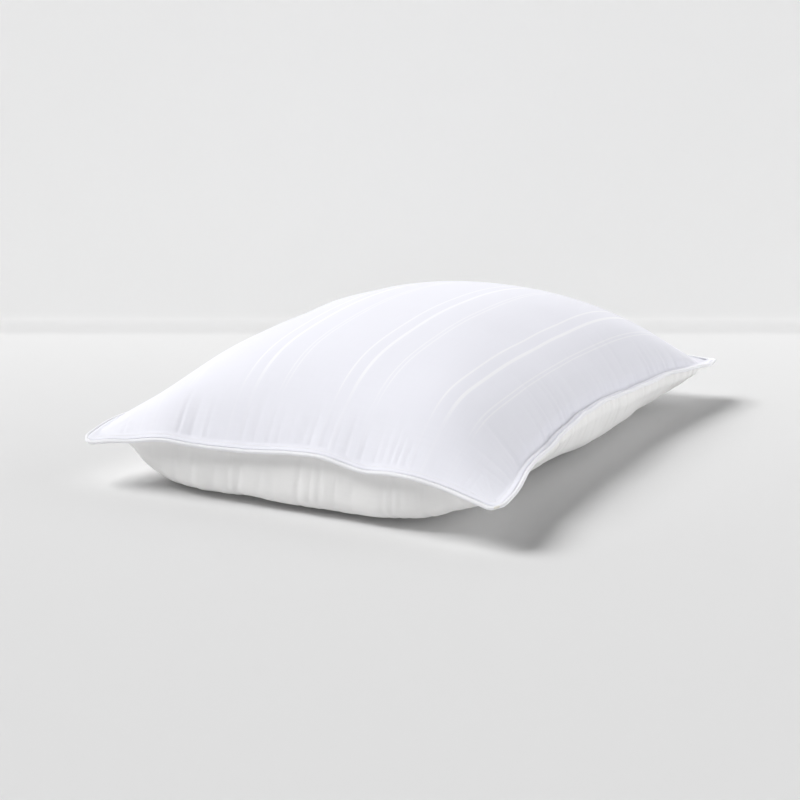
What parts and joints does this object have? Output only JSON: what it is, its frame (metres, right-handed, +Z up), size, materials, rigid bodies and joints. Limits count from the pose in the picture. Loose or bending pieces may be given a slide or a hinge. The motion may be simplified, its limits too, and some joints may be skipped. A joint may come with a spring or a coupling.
{
  "type": "bed pillow",
  "caption": "Plump rectangular bed pillow with a corded edge: two woven panels with a flat topstitched rim, stuffed with loose fibre.",
  "frame": {"origin": "on the surface the pillow lies on, at the middle of its outline", "axes": "+X along the long side, +Y across the pillow towards the labels, +Z up"},
  "size_m": [0.6666, 0.4792, 0.1676],
  "materials": {
    "top_cloth": "cool white cotton with woven satin stripes",
    "bottom_cloth": "plain warm white cotton, matt",
    "fibre": "loose white polyester fibre",
    "piping_cloth": "white cotton cut on the bias, matt",
    "filler_cord": "soft twisted cotton cord",
    "sewing_thread": "white spun polyester thread, slight sheen",
    "label_satin": "white satin ribbon, blank",
    "label_nonwoven": "white non-woven, blank and matt"
  },
  "bodies": {
    "root": {"top_panel": "top_cloth", "bottom_panel": "bottom_cloth", "fibre_fill": "fibre", "piping_cover": "piping_cloth", "piping_cord": "filler_cord", "edge_seam_needle_thread": "sewing_thread", "edge_seam_bobbin_thread": "sewing_thread", "topstitch_needle_thread": "sewing_thread", "topstitch_bobbin_thread": "sewing_thread", "closing_needle_thread": "sewing_thread", "closing_bobbin_thread": "sewing_thread", "care_label": "label_satin", "content_label": "label_nonwoven"}
  },
  "joints": []
}
